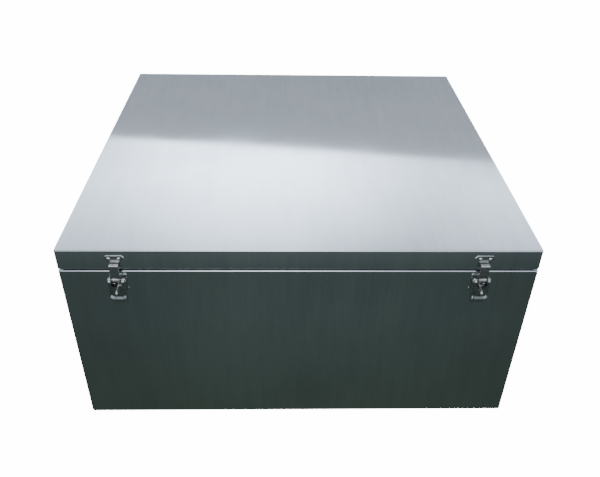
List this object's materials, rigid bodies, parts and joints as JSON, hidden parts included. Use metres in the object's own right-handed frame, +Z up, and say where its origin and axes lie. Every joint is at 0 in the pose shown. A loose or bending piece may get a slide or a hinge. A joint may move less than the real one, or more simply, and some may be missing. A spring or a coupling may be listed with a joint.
{
  "type": "milk delivery box",
  "caption": "Insulated sheet metal delivery box with a plug lid on a full width back hinge and toggle latches with padlock staples on the front.",
  "frame": {"origin": "centre of the bounding box at its bottom: the resting face, midway between the sides and midway between the padlock staples in front and the hinge knuckles behind", "axes": "+X to the right seen from the front, +Y from the latches towards the hinge, +Z up"},
  "size_m": [0.6, 0.6206, 0.2865],
  "materials": {
    "outer_steel": "satin",
    "base_steel": "dull",
    "liner_steel": "satin",
    "hinge_steel": "satin",
    "latch_steel": "bright, lightly worn",
    "lever_steel": "bright, lightly worn",
    "rivet_steel": "satin",
    "seal_rubber": "matt",
    "foam": "matt"
  },
  "bodies": {
    "case": {"case_shell": "outer_steel", "base_pan": "base_steel", "liner": "liner_steel", "insulation_front": "foam", "insulation_back": "foam", "insulation_left": "foam", "insulation_right": "foam", "insulation_base": "foam", "rim_rivets": "rivet_steel", "hinge_leaf_case": "hinge_steel", "hinge_rivets_case": "rivet_steel", "hinge_pin": "hinge_steel", "latch_base_left": "latch_steel", "base_rivets_left": "rivet_steel", "staple_left": "latch_steel", "lever_pin_left": "rivet_steel", "latch_base_right": "latch_steel", "base_rivets_right": "rivet_steel", "staple_right": "latch_steel", "lever_pin_right": "rivet_steel"},
    "lid": {"lid_pan": "outer_steel", "lid_liner": "liner_steel", "lid_insulation": "foam", "lid_seal": "seal_rubber", "lid_rivets": "rivet_steel", "hinge_leaf_lid": "hinge_steel", "hinge_rivets_lid": "rivet_steel", "keeper_left": "latch_steel", "keeper_rivets_left": "rivet_steel", "keeper_right": "latch_steel", "keeper_rivets_right": "rivet_steel"},
    "lever_left": {"lever_left": "lever_steel", "link_pin_left": "rivet_steel"},
    "link_left": {"link_left": "latch_steel"},
    "lever_right": {"lever_right": "lever_steel", "link_pin_right": "rivet_steel"},
    "link_right": {"link_right": "latch_steel"}
  },
  "joints": [
    {"name": "lid_hinge", "type": "hinge", "parent": "case", "child": "lid", "pos_m": [0, 0.3078, 0.25695], "axis": [-1, 0, 0], "range_deg": [0, 180]},
    {"name": "lever_left_pivot", "type": "hinge", "parent": "case", "child": "lever_left", "pos_m": [-0.2285, -0.2999, 0.246], "axis": [-1, 0, 0], "range_deg": [0, 110]},
    {"name": "link_left_pivot", "type": "hinge", "parent": "lever_left", "child": "link_left", "pos_m": [-0.2285, -0.2987, 0.242], "axis": [-1, 0, 0], "range_deg": [-99, 0]},
    {"name": "lever_right_pivot", "type": "hinge", "parent": "case", "child": "lever_right", "pos_m": [0.2285, -0.2999, 0.246], "axis": [-1, 0, 0], "range_deg": [0, 110]},
    {"name": "link_right_pivot", "type": "hinge", "parent": "lever_right", "child": "link_right", "pos_m": [0.2285, -0.2987, 0.242], "axis": [-1, 0, 0], "range_deg": [-99, 0]}
  ],
  "couplings": [
    {"joint": "link_left_pivot", "follows": "lever_left_pivot", "ratio": -0.9},
    {"joint": "link_right_pivot", "follows": "lever_right_pivot", "ratio": -0.9}
  ]
}
